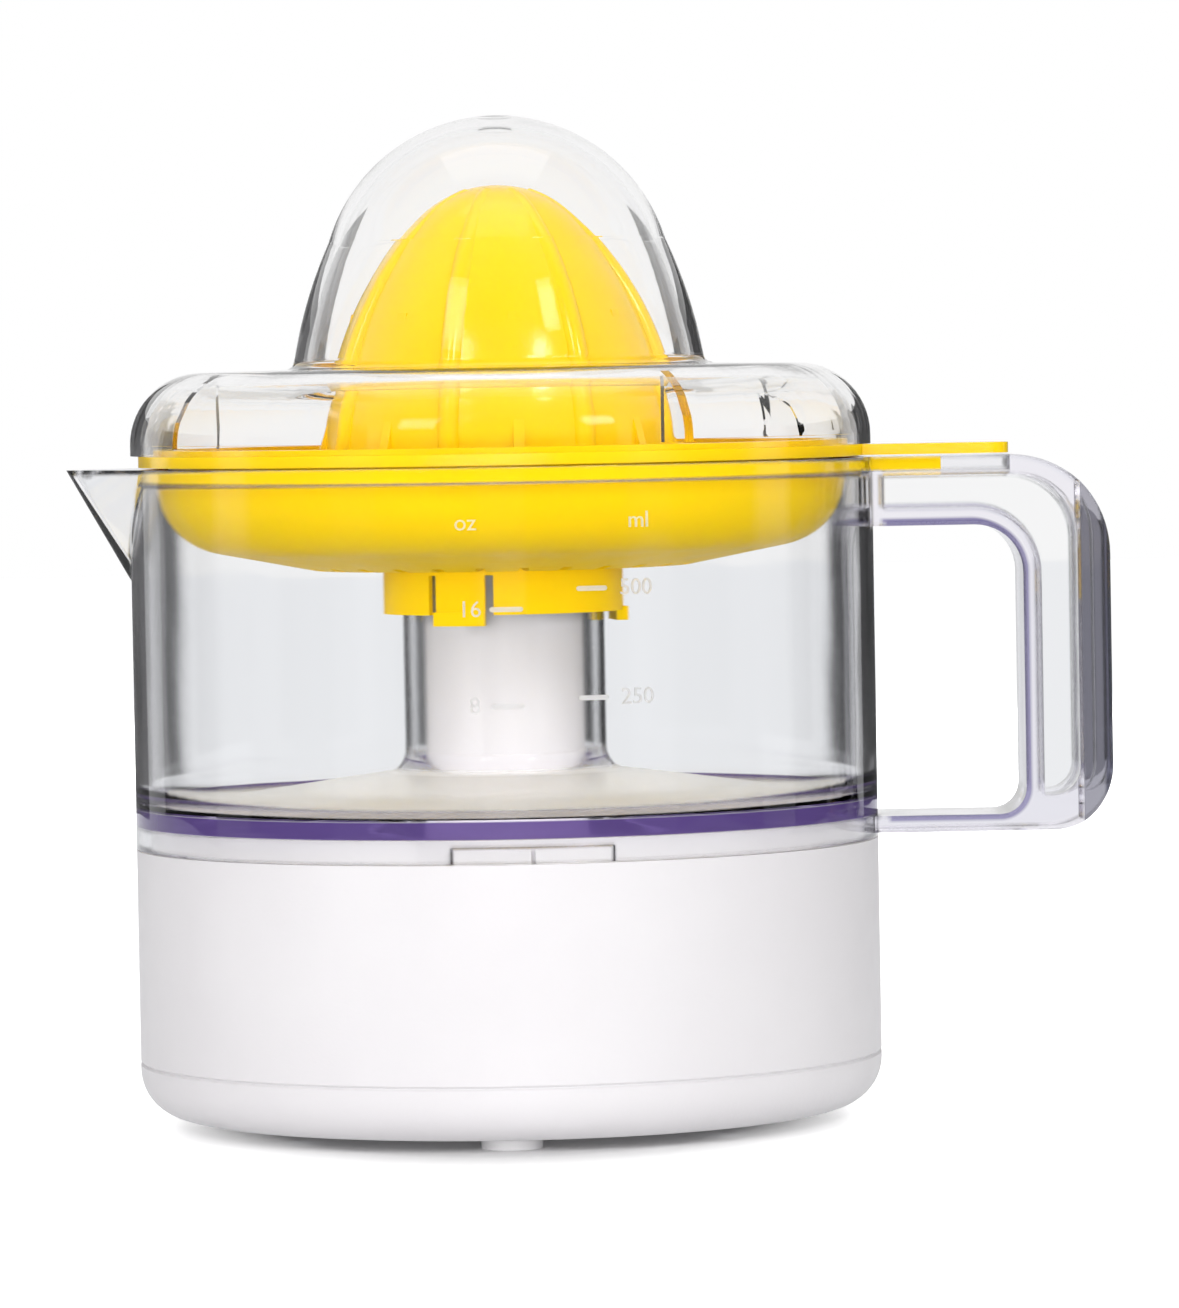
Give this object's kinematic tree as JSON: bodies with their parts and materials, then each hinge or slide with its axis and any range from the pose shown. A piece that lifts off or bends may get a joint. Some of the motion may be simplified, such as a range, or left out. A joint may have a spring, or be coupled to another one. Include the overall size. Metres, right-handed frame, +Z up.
{
  "type": "citrus press juicer",
  "caption": "Electric citrus press: white motor base, clear juice jug with spout and handle, yellow ribbed cone over a two-layer pulp strainer, clear domed lid.",
  "frame": {"origin": "drive axis where it meets the floor the feet stand on", "axes": "+Z up along the drive axis, +X towards the jug's handle, -X towards the spout, -Y towards the front of the base"},
  "size_m": [0.1961, 0.14, 0.1894],
  "materials": {
    "white_shell": "moulded glossy white ABS",
    "yellow_plastic": "moulded glossy yellow plastic",
    "clear_plastic": "clear SAN with a faint cool tint",
    "grey_rubber": "soft grey rubber",
    "steel": "plain steel",
    "gear_plastic": "natural acetal",
    "frame_plastic": "dark filled plastic",
    "copper_wire": "enamelled copper winding",
    "bearing_bronze": "sintered bronze",
    "bonded_ferrite": "dark bonded ferrite"
  },
  "bodies": {
    "base": {"base_housing": "white_shell", "drive_column": "white_shell", "bottom_cover": "white_shell", "inlet_grommet": "grey_rubber", "rubber_feet": "grey_rubber", "cover_screws": "steel", "gear_plate": "frame_plastic", "gear_plate_screws": "steel", "motor_can": "steel", "motor_cover": "steel", "coil_bobbin": "frame_plastic", "stator_coil": "copper_wire", "lower_pole_plate": "steel", "upper_pole_plate": "steel", "motor_screws": "steel", "gear_axle": "steel", "lower_bush": "bearing_bronze", "upper_bush": "bearing_bronze", "shaft_seal": "grey_rubber", "switch_body": "frame_plastic", "return_spring": "steel"},
    "plunger": {"press_plunger": "gear_plastic"},
    "spindle": {"drive_shaft": "steel", "output_gear": "gear_plastic", "shaft_clip": "steel"},
    "idler": {"compound_gear": "gear_plastic"},
    "rotor": {"rotor_magnet": "bonded_ferrite", "rotor_hub": "frame_plastic", "rotor_shaft": "steel", "motor_pinion": "gear_plastic"},
    "button": {"switch_button": "gear_plastic"},
    "jug": {"jug": "clear_plastic"},
    "bowl": {"pulp_bowl": "yellow_plastic"},
    "selector": {"pulp_selector": "yellow_plastic"},
    "sleeve": {"drive_sleeve": "gear_plastic"},
    "cone": {"reamer_cone": "yellow_plastic"},
    "lid": {"lid": "clear_plastic"}
  },
  "joints": [
    {"name": "spindle_press", "type": "slide", "parent": "base", "child": "plunger", "axis": [0, 0, -1], "range_m": [0, 0.003], "stiffness_N_per_m": 1500, "springref_m": -0.004, "deforming": ["return_spring"]},
    {"name": "spindle_spin", "type": "hinge", "parent": "plunger", "child": "spindle", "pos_m": [0, 0, 0.1], "axis": [0, 0, 1], "continuous": true},
    {"name": "idler_spin", "type": "hinge", "parent": "base", "child": "idler", "pos_m": [0.01559, -0.02205, 0.04], "axis": [0, 0, 1], "continuous": true},
    {"name": "rotor_spin", "type": "hinge", "parent": "base", "child": "rotor", "pos_m": [0, -0.037, 0.02], "axis": [0, 0, 1], "continuous": true},
    {"name": "switch_travel", "type": "slide", "parent": "base", "child": "button", "axis": [0, 0, -1], "range_m": [0, 0.003]},
    {"name": "jug_lift", "type": "slide", "parent": "base", "child": "jug", "axis": [0, 0, 1], "range_m": [0, 0.095]},
    {"name": "strainer_lift", "type": "slide", "parent": "jug", "child": "bowl", "axis": [0, 0, 1], "range_m": [0, 0.06]},
    {"name": "selector_turn", "type": "hinge", "parent": "bowl", "child": "selector", "pos_m": [0, 0, 0.124], "axis": [0, 0, 1], "range_deg": [-5, 5]},
    {"name": "lid_lift", "type": "slide", "parent": "bowl", "child": "lid", "axis": [0, 0, 1], "range_m": [0, 0.055]},
    {"name": "cone_spin", "type": "hinge", "parent": "bowl", "child": "sleeve", "pos_m": [0, 0, 0.115], "axis": [0, 0, 1], "continuous": true},
    {"name": "cone_press", "type": "slide", "parent": "sleeve", "child": "cone", "axis": [0, 0, -1], "range_m": [0, 0.003]}
  ],
  "couplings": [
    {"joint": "idler_spin", "follows": "rotor_spin", "ratio": -0.35},
    {"joint": "spindle_spin", "follows": "rotor_spin", "ratio": 0.1},
    {"joint": "cone_spin", "follows": "rotor_spin", "ratio": 0.1},
    {"joint": "cone_press", "follows": "spindle_press", "ratio": 1},
    {"joint": "switch_travel", "follows": "spindle_press", "ratio": 1}
  ]
}
